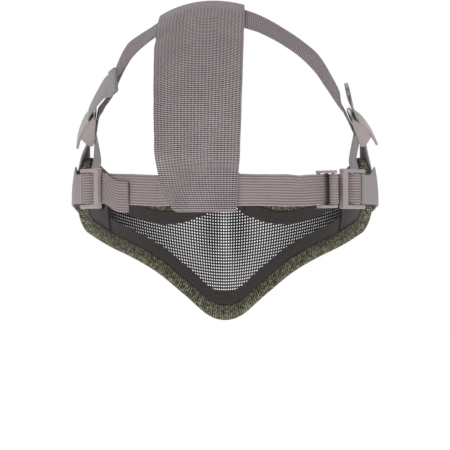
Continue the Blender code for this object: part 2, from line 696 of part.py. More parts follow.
def make_crown_lead(name, frame, pair):
    """The crown strap's end: down behind the lock's top bar and round its crossbar."""
    under = -(BAR_RADIUS + REST_GAP + WEBBING_THICK / 2)
    route = [*arc(LOCK_CROSSBAR_AT, 0, LOOP_RADIUS, -270, -90, 8), (LOCK_TOP_BAR_AT + 1 * MM, under - 0.6 * MM)]
    rows = placed(frame, route, WEBBING_WIDTH)
    rear, front = edge_pair(*pair)
    if (rows[-1][0] - rear).length > (rows[-1][1] - rear).length:
        rows = [[b, a] for a, b in rows]
    last = rows[-1]
    near = [last[0].lerp(rear, 0.965), last[1].lerp(front, 0.965)]
    first = smooth([rows[-2][0], last[0], last[0].lerp(near[0], 0.5), near[0]], 2)[2:]
    second = smooth([rows[-2][1], last[1], last[1].lerp(near[1], 0.5), near[1]], 2)[2:]
    return sheet(name, [*rows[:-1], *[[a, b] for a, b in zip(first, second)]], WEBBING_THICK, WEBBING)


def make_crown_tail(name, frame, ends):
    """The free tail outside the lock's top bar, which bends away with its end folded back."""
    start = LOCK_CROSSBAR_AT + 0.4 * MM
    rows = placed(frame, [(start, LOOP_RADIUS), (start + 5 * MM, LOOP_RADIUS + 0.2 * MM)], WEBBING_WIDTH)
    top = placed(frame, [(LOCK_TOP_BAR_AT + 2 * MM, LOOP_RADIUS + 0.6 * MM)], WEBBING_WIDTH)
    rear_first = (rows[0][0] - rows[0][1]).y > 0
    if not rear_first:
        rows, top = [[b, a] for a, b in rows], [[b, a] for a, b in top]
    edges = [[Vector(p) * MM for p in pair] for pair in ends]
    pairs = [*rows, *top, *edges]
    rear, front = smooth([p[0] for p in pairs], 2), smooth([p[1] for p in pairs], 2)
    return sheet(name, [[a, b] for a, b in zip(rear, front)], WEBBING_THICK, WEBBING)


def panel_x(share, z):
    """The side place of a point of the back panel, from its right edge (0) to its left (1), at that height."""
    z = min(max(z / MM, PANEL_EDGES[0][0]), PANEL_EDGES[-1][0])
    for low, high in zip(PANEL_EDGES, PANEL_EDGES[1:]):
        if z <= high[0]:
            break
    t = (z - low[0]) / (high[0] - low[0])
    right, left = (low[k] + (high[k] - low[k]) * t for k in (1, 2))
    return (right + (left - right) * share) * MM


def make_back_panel():
    """Wide webbing with a sleeve round the crown strap at its top and one round the elastic at its foot."""
    top_bend = WEBBING_THICK / 2 + SLEEVE_GAP + PANEL_THICK / 2
    foot_bend = ELASTIC_THICK / 2 + SLEEVE_GAP + PANEL_THICK / 2
    hug = (PANEL_THICK + REST_GAP) / 2
    edge = ELASTIC_WIDTH / 2 + SLEEVE_GAP
    columns = []
    for j in range(7):
        share = j / 6

        def over(length, lift):
            """A point over the head, at a distance down the panel from the crown strap's middle line."""
            x = panel_x(share, 107 * MM)
            for _ in range(3):
                tilt = crown_tilt(x) + tilt_over(x, length)
                x = panel_x(share, HEAD_CENTRE.z + HEAD_RADII.z * cos(tilt))
            return head_point(x, crown_tilt(x) + tilt_over(x, length), lift)

        def down(tilt, lift):
            x = panel_x(share, HEAD_CENTRE.z + HEAD_RADII.z * cos(tilt))
            return head_point(x, tilt, lift)

        def foot(out, z):
            r = NAPE_RADIUS + out
            angle = acos(panel_x(share, z) / NAPE_RADIUS)
            return Vector((r * cos(angle), NAPE_CENTRE.y + r * sin(angle), z))

        reach = WEBBING_WIDTH / 2 + SLEEVE_GAP
        line = [over(reach + PANEL_RETURN * k, CROWN_LIFT - hug) for k in (1.6, 1)]
        line += [over(reach * k, CROWN_LIFT - top_bend) for k in (1, 0.5, 0, -0.5)]
        for turn in (-90, -130, -180, -230, -270):
            lean = top_bend * cos(radians(turn))
            line.append(over(lean - reach, CROWN_LIFT + top_bend * sin(radians(turn))))
        line += [over(reach * k, CROWN_LIFT + top_bend) for k in (-0.5, 0, 0.5, 1)]
        line += [over(reach + PANEL_RETURN * k, CROWN_LIFT + hug) for k in (1, 1.6)]
        x = panel_x(share, 90 * MM)
        start = crown_tilt(x) + tilt_over(x, reach + PANEL_RETURN * 2.4)
        for i in range(7):
            line.append(down(start + (radians(103) - start) * i / 6, CROWN_LIFT + hug * (1 - i / 8)))
        line += [foot(foot_bend, edge), foot(foot_bend, 0), foot(foot_bend, -edge)]
        for turn in (-40, -90, -140):
            line.append(foot(foot_bend * cos(radians(turn)), -edge + foot_bend * sin(radians(turn))))
        line += [foot(-foot_bend, -edge), foot(-foot_bend, 0), foot(-foot_bend, edge - 1 * MM)]
        columns.append(line)
    rows = [list(row) for row in zip(*columns)]
    return sheet("back_panel", rows, PANEL_THICK, WEBBING)


# ---------------------------------------------------------------- build
for old in list(bpy.data.objects):
    bpy.data.objects.remove(old)
parts = bpy.data.collections.new("half_face_mask")
cutters = bpy.data.collections.new("cutters")
for collection in (parts, cutters):
    bpy.context.scene.collection.children.link(collection)

FRAMES = {
    "buckle_left": frame_of(*BUCKLE_LEFT),
    "buckle_right": frame_of(*BUCKLE_RIGHT),
    "lock_left": frame_of(*LOCK_LEFT),
    "lock_right": frame_of(*LOCK_RIGHT),
}
TAIL_LEFT = (((82, 22, 62), (83, 2, 76)), ((76, 29, 63), (78, 13, 80)), ((71.5, 33, 66), (73, 23, 82.5)))
TAIL_RIGHT = (((-83.5, 13, 62), (-84, -6, 68)), ((-82, 14, 69), (-82.5, -5, 74)))

shell = make_shell()
make_trim()
make_lining("lining_lower", LOWER_EDGE)
make_lining("lining_upper", UPPER_EDGE)
make_nose_pad()
for word, side in (("left", 1), ("right", -1)):
    buckle, lock = FRAMES[f"buckle_{word}"], FRAMES[f"lock_{word}"]
    pad = make_wing_pad(f"wing_pad_{word}", side)
    cheek = make_cheek_tab(f"cheek_tab_{word}", side, buckle)
    upper = make_upper_tab(f"upper_tab_{word}", side, lock)
    drill(side, REAR_RIVET_S, (shell, pad, cheek, upper))
    drill(side, FRONT_RIVET_S, (shell, pad, cheek))
    pad_face = -SHELL_THICK / 2 - FACET_GAP - LINING_THICK
    make_rivet(f"rivet_rear_{word}", side, REAR_RIVET_S, TAB_STACK, INNER_STACK - WEBBING_THICK / 2)
    make_rivet(f"rivet_front_{word}", side, FRONT_RIVET_S, TAB_FOOT, pad_face)
    make_washer(f"washer_rear_{word}", side, REAR_RIVET_S, INNER_STACK - WEBBING_THICK / 2)
    make_washer(f"washer_front_{word}", side, FRONT_RIVET_S, pad_face)
    make_buckle(f"lower_buckle_{word}", buckle)
    make_lock(f"upper_lock_{word}", lock)

make_nape_elastic()
left_end, left_touch, _ = nape_run(FRAMES["buckle_left"], 1)
right_end, right_touch, _ = nape_run(FRAMES["buckle_right"], -1)
make_nape_loop(
    "nape_loop_left", FRAMES["buckle_left"], tail_rows(left_end, left_touch, FRAMES["buckle_left"], 26 * MM, 5 * MM)
)
make_nape_loop(
    "nape_loop_right", FRAMES["buckle_right"], tail_rows(right_end, right_touch, FRAMES["buckle_right"], 8 * MM, 0)
)
run = right_touch - right_end
slider_frame = frame_of(right_end + run.normalized() * SLIDER_AT, run, Vector((-run.y, run.x, 0)))
make_slider(slider_frame)
make_slider_band(slider_frame)
make_crown_strap()
make_crown_lead("crown_lead_left", FRAMES["lock_left"], CROWN_LEFT[0])
make_crown_lead("crown_lead_right", FRAMES["lock_right"], CROWN_RIGHT[-1])
make_crown_tail("crown_tail_left", FRAMES["lock_left"], TAIL_LEFT)
make_crown_tail("crown_tail_right", FRAMES["lock_right"], TAIL_RIGHT)
make_back_panel()
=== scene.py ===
# %% [markdown]
# # A half-face mask of steel mesh with a webbing head harness
# The CAD frame gives the hardware and says where everything is. This notebook dresses it: a perforated shell,
# a rolled fabric edging, soft linings, woven straps and ribbed elastic. Lengths are in metres and +Z is up.
# The wearer faces -Y, so the camera stands behind the head on the +Y side.

import json
from math import acos, atan2, cos, exp, hypot, pi, radians, sin, sqrt

import bmesh
import bpy
from mathutils import Matrix, Vector, noise

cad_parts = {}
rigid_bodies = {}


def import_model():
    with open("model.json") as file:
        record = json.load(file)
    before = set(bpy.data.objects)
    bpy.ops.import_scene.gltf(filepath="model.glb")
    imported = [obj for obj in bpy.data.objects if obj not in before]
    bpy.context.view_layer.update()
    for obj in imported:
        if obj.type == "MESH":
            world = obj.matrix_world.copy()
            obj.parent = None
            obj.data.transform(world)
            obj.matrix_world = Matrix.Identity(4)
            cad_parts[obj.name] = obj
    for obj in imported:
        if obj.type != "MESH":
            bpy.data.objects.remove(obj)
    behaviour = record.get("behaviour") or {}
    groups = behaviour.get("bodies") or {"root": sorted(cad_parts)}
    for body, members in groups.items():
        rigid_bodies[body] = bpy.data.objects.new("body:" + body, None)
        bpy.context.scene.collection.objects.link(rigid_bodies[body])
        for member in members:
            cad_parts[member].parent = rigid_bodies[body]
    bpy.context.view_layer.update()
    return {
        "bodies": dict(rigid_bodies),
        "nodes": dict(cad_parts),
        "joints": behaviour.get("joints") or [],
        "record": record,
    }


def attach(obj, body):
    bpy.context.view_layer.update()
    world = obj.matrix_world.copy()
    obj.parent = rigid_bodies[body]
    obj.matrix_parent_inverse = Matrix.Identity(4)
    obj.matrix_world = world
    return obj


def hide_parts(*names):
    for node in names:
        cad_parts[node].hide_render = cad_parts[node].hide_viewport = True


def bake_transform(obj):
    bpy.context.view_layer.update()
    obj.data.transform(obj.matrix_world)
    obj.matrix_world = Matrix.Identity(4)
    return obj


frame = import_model()
MM = 0.001
UP = Vector((0, 0, 1))
scene = bpy.context.scene
print("nodes in the frame:", len(frame["nodes"]))

# %% [markdown]
# ## Materials
# Colours are given as they should look on screen, so one function turns them into the linear values that
# Blender works with. Cloth patterns are measured in millimetres: every strap carries its own UV map, with
# millimetres across the strap in U and millimetres along it in V.


# %% Colour and node helpers
def colour(code):
    parts = [int(code[i : i + 2], 16) / 255 for i in (1, 3, 5)]
    return (*[c / 12.92 if c <= 0.04045 else ((c + 0.055) / 1.055) ** 2.4 for c in parts], 1)


def new_material(name):
    m = bpy.data.materials.new(name)
    m.use_nodes = True
    return m, m.node_tree, m.node_tree.nodes["Principled BSDF"]


def add_node(tree, kind, **values):
    """A shader node, with its properties set by name and its inputs fed by a value or by another socket."""
    node = tree.nodes.new(kind)
    for key, value in values.items():
        if key.startswith("in_"):
            socket = node.inputs[int(key[3:])]
            if isinstance(value, bpy.types.NodeSocket):
                tree.links.new(value, socket)
            else:
                socket.default_value = value
        else:
            setattr(node, key, value)
    return node


def wave(tree, source, pitch, shift=0.0):
    """A sine wave from -1 to 1 with that pitch in millimetres."""
    turns = add_node(tree, "ShaderNodeMath", operation="MULTIPLY_ADD", in_0=source, in_1=2 * pi / pitch, in_2=shift)
    return add_node(tree, "ShaderNodeMath", operation="SINE", in_0=turns.outputs[0]).outputs[0]


def blend_colours(tree, amount, low, high):
    mix = add_node(tree, "ShaderNodeMix", data_type="RGBA")
    tree.links.new(amount, mix.inputs[0])
    mix.inputs[6].default_value, mix.inputs[7].default_value = colour(low), colour(high)
    return mix.outputs[2]


def spread(tree, value, low, high):
    """Maps a value from that range to 0..1."""
    return add_node(
        tree, "ShaderNodeMapRange", interpolation_type="SMOOTHSTEP", in_0=value, in_1=low, in_2=high
    ).outputs[0]


def cloth(name, low, high, across, along, relief, low_end=-0.9, high_end=0.7, tint=0.35):
    """Woven cloth: rows of knuckles where both pitches are given, ribs along or across the strap where one is."""
    m, tree, shader = new_material(name)
    uv = add_node(tree, "ShaderNodeSeparateXYZ", in_0=add_node(tree, "ShaderNodeUVMap").outputs[0])
    u, v = uv.outputs[0], uv.outputs[1]
    height = wave(tree, u, across) if across else wave(tree, v, along)
    if across and along:
        rows = wave(tree, v, along)
        height = add_node(tree, "ShaderNodeMath", operation="MULTIPLY_ADD", in_0=height, in_1=0.5, in_2=rows).outputs[0]
    place = add_node(tree, "ShaderNodeTexCoord").outputs["Object"]
    fuzz = add_node(tree, "ShaderNodeTexNoise", in_0=place, in_2=900.0, in_3=3.0).outputs["Fac"]
    patches = add_node(tree, "ShaderNodeTexNoise", in_0=place, in_2=60.0, in_3=2.0).outputs["Fac"]
    uneven = add_node(tree, "ShaderNodeMath", operation="MULTIPLY_ADD", in_0=fuzz, in_1=1.0, in_2=height).outputs[0]
    uneven = add_node(tree, "ShaderNodeMath", operation="MULTIPLY_ADD", in_0=patches, in_1=tint * 2, in_2=uneven).outputs[0]
    # The colour follows the weave's relief as well as random tone in the yarn: the low gaps get painted shade and the
    # raised threads a painted highlight.
    shift = 0.5 + tint
    amount = spread(tree, uneven, low_end + shift, high_end + shift)
    tree.links.new(blend_colours(tree, amount, low, high), shader.inputs["Base Color"])
    bump = add_node(tree, "ShaderNodeBump", in_0=1.0, in_1=relief * MM)
    tree.links.new(uneven, bump.inputs["Height"])
    tree.links.new(bump.outputs[0], shader.inputs["Normal"])
    shader.inputs["Roughness"].default_value = 0.85
    shader.inputs["Sheen Weight"].default_value = 0.15
    shader.inputs["Sheen Roughness"].default_value = 0.5
    return m


# %% [markdown]
# The narrow straps are flat polypropylene webbing. The back panel is a coarser basket weave. The elastic has ribs
# that run its whole length, and the edging is a mottled knit whose stitches cross the edge.

# %% The materials
# The coarse panel weave carries the strongest painted shade: its gaps go near black and its knuckles take a painted
# highlight.
PANEL_CLOTH = cloth("coarse plain-weave webbing", "#30282b", "#b0a3a4", across=2.21, along=1.27, relief=0.2, low_end=-0.8, high_end=0.6)
STRAP_CLOTH = cloth("flat polypropylene webbing", "#665b5d", "#948889", across=0, along=1.3, relief=0.12)
TAB_CLOTH = cloth("pale flat webbing", "#827b7c", "#a29b9c", across=0, along=1.2, relief=0.06)
FOLD_CLOTH = cloth("webbing folded over the strap", "#6f6466", "#9b8f90", across=0, along=1.9, relief=0.15)
ELASTIC_CLOTH = cloth("ribbed elastic", "#736766", "#a19393", across=1.75, along=0, relief=0.18)
THREAD, tree, shader = new_material("grey sewing thread")
shader.inputs["Base Color"].default_value = colour("#8d8385")
shader.inputs["Roughness"].default_value = 0.7

# Dark fleece against the skin, with a short nap.
LINING, tree, shader = new_material("dark fleece lining")
place = add_node(tree, "ShaderNodeTexCoord").outputs["Object"]
nap = add_node(tree, "ShaderNodeTexNoise", in_0=place, in_2=700.0, in_3=4.0).outputs["Fac"]
tree.links.new(blend_colours(tree, nap, "#1f1a19", "#4b4342"), shader.inputs["Base Color"])
bump = add_node(tree, "ShaderNodeBump", in_0=0.8, in_1=0.3 * MM)
tree.links.new(nap, bump.inputs["Height"])
tree.links.new(bump.outputs[0], shader.inputs["Normal"])
shader.inputs["Roughness"].default_value = 0.95
shader.inputs["Sheen Weight"].default_value = 0.2

# Mottled olive edging: stitches across the edge at the knit's pitch, lighter on their ridges and darker between them as
# painted shade, broken up by patches of black and light yarn.
EDGING, tree, shader = new_material("mottled olive knit edging")
uv = add_node(tree, "ShaderNodeSeparateXYZ", in_0=add_node(tree, "ShaderNodeUVMap").outputs[0])
stitches = wave(tree, uv.outputs[1], 1.9)
place = add_node(tree, "ShaderNodeTexCoord").outputs["Object"]
yarn = add_node(tree, "ShaderNodeTexNoise", in_0=place, in_2=520.0, in_3=3.0, in_4=0.7).outputs["Fac"]
patches = add_node(tree, "ShaderNodeTexNoise", in_0=place, in_2=110.0, in_3=2.0).outputs["Fac"]
mixed = add_node(tree, "ShaderNodeMath", operation="MULTIPLY_ADD", in_0=stitches, in_1=0.09, in_2=yarn).outputs[0]
base = blend_colours(tree, spread(tree, mixed, 0.36, 0.62), "#1d1c17", "#6b6852")
light = add_node(tree, "ShaderNodeMix", data_type="RGBA")
specks = add_node(tree, "ShaderNodeMath", operation="MULTIPLY", in_0=spread(tree, mixed, 0.55, 0.68), in_1=patches)
tree.links.new(specks.outputs[0], light.inputs[0])
tree.links.new(base, light.inputs[6])
light.inputs[7].default_value = colour("#b3b09a")
tree.links.new(light.outputs[2], shader.inputs["Base Color"])
bump = add_node(tree, "ShaderNodeBump", in_0=0.9, in_1=0.4 * MM)
tree.links.new(mixed, bump.inputs["Height"])
tree.links.new(bump.outputs[0], shader.inputs["Normal"])
shader.inputs["Roughness"].default_value = 0.9

# Powder-coated steel for the shell.
STEEL, tree, shader = new_material("black powder-coated steel")
shader.inputs["Base Color"].default_value = colour("#1a1919")
shader.inputs["Roughness"].default_value = 0.42
shader.inputs["Metallic"].default_value = 0.2

RIVETS, tree, shader = new_material("blackened brass rivet")
shader.inputs["Base Color"].default_value = colour("#2a2828")
shader.inputs["Roughness"].default_value = 0.35
shader.inputs["Metallic"].default_value = 0.8

# Moulded acetal with a fine matt skin.
PLASTIC, tree, shader = new_material("grey moulded acetal")
place = add_node(tree, "ShaderNodeTexCoord").outputs["Object"]
skin = add_node(tree, "ShaderNodeTexNoise", in_0=place, in_2=400.0, in_3=3.0).outputs["Fac"]
tree.links.new(blend_colours(tree, skin, "#958a89", "#a49a99"), shader.inputs["Base Color"])
bump = add_node(tree, "ShaderNodeBump", in_0=0.3, in_1=0.05 * MM)
tree.links.new(skin, bump.inputs["Height"])
tree.links.new(bump.outputs[0], shader.inputs["Normal"])
shader.inputs["Roughness"].default_value = 0.42
print("materials:", len(bpy.data.materials))

# %% [markdown]
# ## The mask's surface
# The pressed shell is a half-ellipse section that gets narrower towards the chin, with a ridge for the nose.
# `s` is the distance round the shell from the middle, and `z` the height.

# %% The mask's surface
SHELL_END, END_ROUND, END_Z = 163 * MM, 20 * MM, 4 * MM
LOWER_EDGE = ((0, -90), (20, -86), (42, -71), (64, -55), (86, -44), (112, -35), (140, -26), (163, -21))
UPPER_EDGE = ((0, 17), (10, 14.5), (24, 4), (40, -3), (60, -4), (85, 2), (110, 11), (138, 20), (163, 25))
SHELL_THICK = 1.0 * MM


def shell_point(s, z, out=0.0):
    def middle(s, z):
        ridge = 10 * MM * exp(-((s / (15 * MM)) ** 2) - ((z + 18 * MM) / (34 * MM)) ** 2)
        half = 99 * MM - 4.5 * (z + 6 * MM) ** 2
        depth = 119 * MM - 5.5 * (z + 35 * MM) ** 2 + ridge
        return Vector((half * sin(s / (108 * MM)), 5 * MM - depth * cos(s / (108 * MM)), z))

    e = 0.1 * MM
    normal = (middle(s + e, z) - middle(s - e, z)).cross(middle(s, z + e) - middle(s, z - e)).normalized()
    return middle(s, z) + out * normal


def hermite(points, x):
    i = min(max(k for k, p in enumerate(points) if p[0] <= x), len(points) - 2)
    slopes = [0.0]
    slopes += [(c[1] - a[1]) / (c[0] - a[0]) for a, c in zip(points, points[2:])]
    slopes.append((points[-1][1] - points[-2][1]) / (points[-1][0] - points[-2][0]))
    (x0, y0), (x1, y1) = points[i], points[i + 1]
    h = x1 - x0
    t = (x - x0) / h
    value = (2 * t**3 - 3 * t**2 + 1) * y0 + (3 * t**2 - 2 * t**3) * y1
    return value + (t**3 - 2 * t**2 + t) * h * slopes[i] + (t**3 - t**2) * h * slopes[i + 1]


def edge_height(edge, s, inset=0.0):
    sign = 1 if edge is LOWER_EDGE else -1
    reach, rounding = SHELL_END - inset, END_ROUND - inset
    flat = hermite(edge, min(abs(s), reach) / MM) * MM + sign * inset
    over = min(max(0.0, (abs(s) - reach + rounding) / rounding), 1.0)
    return END_Z + (flat - END_Z) * sqrt(1 - over**2)


# %% [markdown]
# The sheet steel is punched on a fine lattice whose rows rise a little towards the ears. Each cell is inset,
# its middle taken out and the corners of the hole cut off, then the whole lattice is made solid.

# %% The perforated shell
HOLE_PITCH = 2.25 * MM
BRIDGE = 0.42 * MM


def finished(bm, name, material, smooth=True):
    bmesh.ops.recalc_face_normals(bm, faces=bm.faces)
    mesh = bpy.data.meshes.new(name)
    bm.to_mesh(mesh)
    bm.free()
    mesh.materials.append(material)
    obj = bpy.data.objects.new(name, mesh)
    scene.collection.objects.link(obj)
    if smooth:
        mesh.shade_smooth()
    return obj


def lattice_place(a, b):
    s = a * HOLE_PITCH
    return s, b * HOLE_PITCH + 0.2 * (sqrt(s**2 + (20 * MM) ** 2) - 20 * MM)


bm = bmesh.new()
bmesh.ops.create_grid(bm, x_segments=146, y_segments=80, size=1)
for v in bm.verts:
    v.co = Vector((round(v.co.x * 73), round(v.co.y * 40) - 14, 0))
outside = []
for f in bm.faces:
    for v in f.verts:
        s, z = lattice_place(v.co.x, v.co.y)
        near = 2.0 * MM
        inside = abs(s) < SHELL_END - near
        inside = inside and edge_height(LOWER_EDGE, s) + near < z < edge_height(UPPER_EDGE, s) - near
        if not inside:
            outside.append(f)
            break
bmesh.ops.delete(bm, geom=outside, context="FACES")
holes = bm.faces[:]
cells = len(holes)
bmesh.ops.inset_individual(bm, faces=holes, thickness=BRIDGE / HOLE_PITCH, use_even_offset=True)
corners = list({v for f in holes for v in f.verts})
bmesh.ops.delete(bm, geom=holes, context="FACES_ONLY")
bmesh.ops.bevel(bm, geom=corners, offset=0.2, segments=1, affect="VERTICES", profile=0.5)
for v in bm.verts:
    v.co = shell_point(*lattice_place(v.co.x, v.co.y))
shell = finished(bm, "perforated_shell", STEEL, smooth=False)
solid = shell.modifiers.new("sheet steel", "SOLIDIFY")
solid.thickness, solid.offset = 0.9 * MM, 0
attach(shell, "mask")
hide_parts("steel_mesh")
print("holes in the shell:", cells)

# %% [markdown]
# ## Cloth helpers
# A ribbon is drawn from rows of points across the strap. Its edges are rounded, it wavers a little as real
# webbing does, and its UV map is in millimetres.


# %% Cloth helpers
def smooth_line(points, steps):
    """A Catmull-Rom curve through the points, with that many steps from each point to the next."""
    p = [2 * points[0] - points[1], *points, 2 * points[-1] - points[-2]]
    out = []
    for a, b, c, d in zip(p, p[1:], p[2:], p[3:]):
        for i in range(steps):
            t = i / steps
            out.append(
                0.5 * (2 * b + (c - a) * t + (2 * a - 5 * b + 4 * c - d) * t**2 + (3 * b - a - 3 * c + d) * t**3)
            )
    return [*out, points[-1]]


def grid_mesh(rows, closed_across=False):
    """A bmesh of quads through rows of points. Its UV map has the point's number across and millimetres along."""
    along, across = len(rows) - 1, len(rows[0]) - 1
    middle = len(rows[0]) // 4
    lengths = [0.0]
    for a, b in zip(rows, rows[1:]):
        lengths.append(lengths[-1] + (b[middle] - a[middle]).length / MM)
    bm = bmesh.new()
    bmesh.ops.create_grid(bm, x_segments=along, y_segments=across, size=1)
    uv = bm.loops.layers.uv.new("UVMap")
    place = {v: (round((v.co.x + 1) / 2 * along), round((v.co.y + 1) / 2 * across)) for v in bm.verts}
    for f in bm.faces:
        for loop in f.loops:
            i, j = place[loop.vert]
            loop[uv].uv = (j, lengths[i])
    for v, (i, j) in place.items():
        v.co = rows[i][j]
    if closed_across:
        bmesh.ops.remove_doubles(bm, verts=bm.verts, dist=1e-6)
    return bm, lengths[-1] * MM, across


def ribbon(name, rows, thick, material, steps=4, across=8, waver=0.12, edge=0.45):
    """A strap through rows of two or more points across, made finer along and across, with rounded edges."""
    columns = [smooth_line([row[j] for row in rows], steps) for j in range(len(rows[0]))]
    fine = []
    for points in zip(*columns):
        width = sum((b - a).length for a, b in zip(points, points[1:]))
        corner = min(edge * MM / width, 0.2)
        shares = [0, corner * 0.3, corner, *[corner + (1 - 2 * corner) * j / across for j in range(1, across)]]
        shares += [1 - corner, 1 - corner * 0.3, 1]
        row = []
        for share in shares:
            place = share * (len(points) - 1)
            k = min(int(place), len(points) - 2)
            row.append(points[k].lerp(points[k + 1], place - k))
        side = (row[-1] - row[0]).normalized()
        wide = noise.noise(row[len(row) // 2] * 90) * waver * MM
        fine.append([p + side * wide * (2 * share - 1) for p, share in zip(row, shares)])
    last = len(fine[0]) - 1
    lift = [0, 0.7, *[1] * (last - 3), 0.7, 0]
    solid = []
    for i, row in enumerate(fine):
        ahead, behind = fine[min(i + 1, len(fine) - 1)], fine[max(i - 1, 0)]
        end = 0.6 if i in (0, len(fine) - 1) else 1.0
        faces = []
        for j, p in enumerate(row):
            over = row[min(j + 1, last)] - row[max(j - 1, 0)]
            out = over.cross(ahead[j] - behind[j]).normalized()
            faces.append(out * thick / 2 * lift[j] * end)
        top = [p + d for p, d in zip(row, faces)]
        foot = [p - d for p, d in zip(row, faces)]
        solid.append(top + foot[-2:0:-1] + top[:1])
    bm, length, _ = grid_mesh(solid)
    uv = bm.loops.layers.uv.active
    shares = [x * (fine[0][-1] - fine[0][0]).length / MM for x in shares]
    width = (rows[len(rows) // 2][-1] - rows[len(rows) // 2][0]).length
    for f in bm.faces:
        for loop in f.loops:
            j = round(loop[uv].uv.x)
            loop[uv].uv.x = shares[j if j <= last else 2 * last - j]
    bmesh.ops.remove_doubles(bm, verts=bm.verts, dist=1e-7)
    bmesh.ops.holes_fill(bm, edges=bm.edges, sides=0)
    obj = finished(bm, name, material)
    obj["length"], obj["width"] = length, width
    return obj


def hem(rows, out, length=8.0, rise=1.5):
    """The strap's end folded back on itself on the side that the direction points to, and sewn down."""
    a, b = rows[-1]
    ahead = ((a + b) / 2 - (rows[-2][0] + rows[-2][1]) / 2).normalized()
    out = (out - out.dot(ahead) * ahead).normalized()
    folds = ((0.9, 0.35), (1.0, rise - 0.3), (0, rise), (-length / 2, rise), (-length, rise - 0.1))
    return rows + [[p + ahead * u * MM + out * n * MM for p in (a, b)] for u, n in folds]


def cloth_of(obj, body=None, nodes=()):
    """Attaches a strap to its body, hides the CAD nodes it stands for and prints its drawn size."""
    if body:
        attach(obj, body)
    if nodes:
        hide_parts(*nodes)
    print(f"{obj.name}: {obj['width'] * 1000:.0f} x {obj['length'] * 1000:.0f} mm")


def frame_of(origin, along, out):
    x = along.normalized()
    z = (out - out.dot(x) * x).normalized()
    m = Matrix((x, z.cross(x), z)).transposed().to_4x4()
    m.translation = origin
    return m


def arc(u, n, radius, start, end, steps=8):
    angles = [radians(start + (end - start) * i / steps) for i in range(steps + 1)]
    return [(u + radius * cos(a), n + radius * sin(a)) for a in angles]


def placed(frame, route, width):
    return [[frame @ Vector((u, -width / 2, n)), frame @ Vector((u, width / 2, n))] for u, n in route]


def stitches(name, points, out, body, every=2.6, long=1.7, thick=0.32):
    """A row of thread stitches along a line of points, each lying on the cloth."""
    bm = bmesh.new()
    line = smooth_line(points, 12)
    walked, due = 0.0, 0.0
    for a, b in zip(line, line[1:]):
        walked += (b - a).length
        if walked < due or (b - a).length < 1e-9:
            continue
        due += every * MM
        turn = (b - a).to_track_quat("X", "Z").to_matrix().to_4x4()
        turn.translation = a + out
        turn = turn @ Matrix.Diagonal((long / 2 * MM, thick / 2 * MM, thick / 2 * MM, 1))
        bmesh.ops.create_icosphere(bm, subdivisions=2, radius=1, matrix=turn)
    obj = finished(bm, name, THREAD)
    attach(obj, body)
    return obj


# %% [markdown]
# ## Edging, linings and pads
# The edging is one rolled band: its flaps hold the edge from outside and inside. The linings lie against the
# shell's inside, so the wearer's cheeks don't touch steel.

# %% Edging
def perimeter():
    count = 130
    half = [SHELL_END * (1.5 * t - 0.5 * t**3) for t in [2 * i / count - 1 for i in range(count + 1)]]
    there = [Vector((s, edge_height(LOWER_EDGE, s))) for s in half]
    back = [Vector((s, edge_height(UPPER_EDGE, s))) for s in reversed(half)]
    return there[:-1] + back[:-1]


SECTION = (
    (9.2, 0.95), (9.0, 1.75), (7.6, 2.15), (5.8, 2.4), (3.6, 2.6), (1.4, 2.75), (-0.6, 2.55), (-2.0, 1.85), (-2.9, 0.7),
    (-3.15, -0.6), (-2.85, -1.9), (-2.0, -2.9), (-0.6, -3.5), (1.6, -3.65), (4.0, -3.4), (5.6, -3.0), (6.6, -2.4),
    (6.7, -1.2), (6.0, -0.95), (3.0, -0.95), (-0.5, -0.9), (-0.5, 0.9), (4.0, 0.9), (9.2, 0.95),
)
line = perimeter()
rows = []
for i, p in enumerate(line):
    ahead = (line[(i + 1) % len(line)] - line[i - 1]).normalized()
    side = Vector((-ahead.y, ahead.x))
    here = shell_point(*p)
    swell = 1 + 0.06 * noise.noise(here * 55) + 0.03 * noise.noise(here * 240)
    rows.append([shell_point(*(p + b * MM * side), n * MM * (swell if abs(n) > 1 else 1)) for b, n in SECTION])
rows.append(rows[0])
bm, length, width = grid_mesh(rows, closed_across=True)
edging = finished(bm, "rolled_edging", EDGING)
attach(edging, "mask")
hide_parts("edge_trim")
print(f"edging runs {length * 1000:.0f} mm round the shell")


# %% Linings and pads
def pad(name, rows, thick, node):
    obj = ribbon(name, rows, thick, LINING, steps=2, across=max(6, 2 * (len(rows[0]) - 1)), edge=1.0)
    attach(obj, "mask")
    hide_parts(node)
    return obj


for name, edge in (("lining_lower", LOWER_EDGE), ("lining_upper", UPPER_EDGE)):
    sign = 1 if edge is LOWER_EDGE else -1
    rows = []
    for i in range(77):
        s = 114 * MM * (i / 38 - 1)
        slope = (edge_height(edge, s + 1 * MM) - edge_height(edge, s - 1 * MM)) / (2 * MM)
        stretch = sign * sqrt(1 + slope**2)
        rows.append([shell_point(s, edge_height(edge, s) + stretch * b * MM, -2.2 * MM) for b in (6.9, 12, 17)])
    pad(f"fleece_{name}", rows, 2.2 * MM, name)
for word, side in (("left", 1), ("right", -1)):
    rows = []
    for i in range(19):
        s = (116 + 38.3 * i / 18) * MM
        low, high = edge_height(LOWER_EDGE, s, 7.7 * MM), edge_height(UPPER_EDGE, s, 7.7 * MM)
        rows.append([shell_point(side * s, low + (high - low) * j / 6, -2.2 * MM) for j in range(7)])
    pad(f"fleece_wing_pad_{word}", rows, 2.2 * MM, f"wing_pad_{word}")
rows = []
for i in range(19):
    s = 17 * MM * (i / 9 - 1)
    top = edge_height(UPPER_EDGE, s) - 8 * MM
    rows.append([shell_point(s, top - 11 * MM * j / 4, -6.0 * MM) for j in range(5)])
pad("foam_nose_pad", rows, 4 * MM, "nose_pad")
print("linings and pads done")

# %% [markdown]
# ## Straps at the mask
# Each wing carries two webbing tabs under the same rivets. The cheek tab loops round the lower buckle's hinge bar,
# and the upper tab straddles the wing's edge and holds the ladder lock.

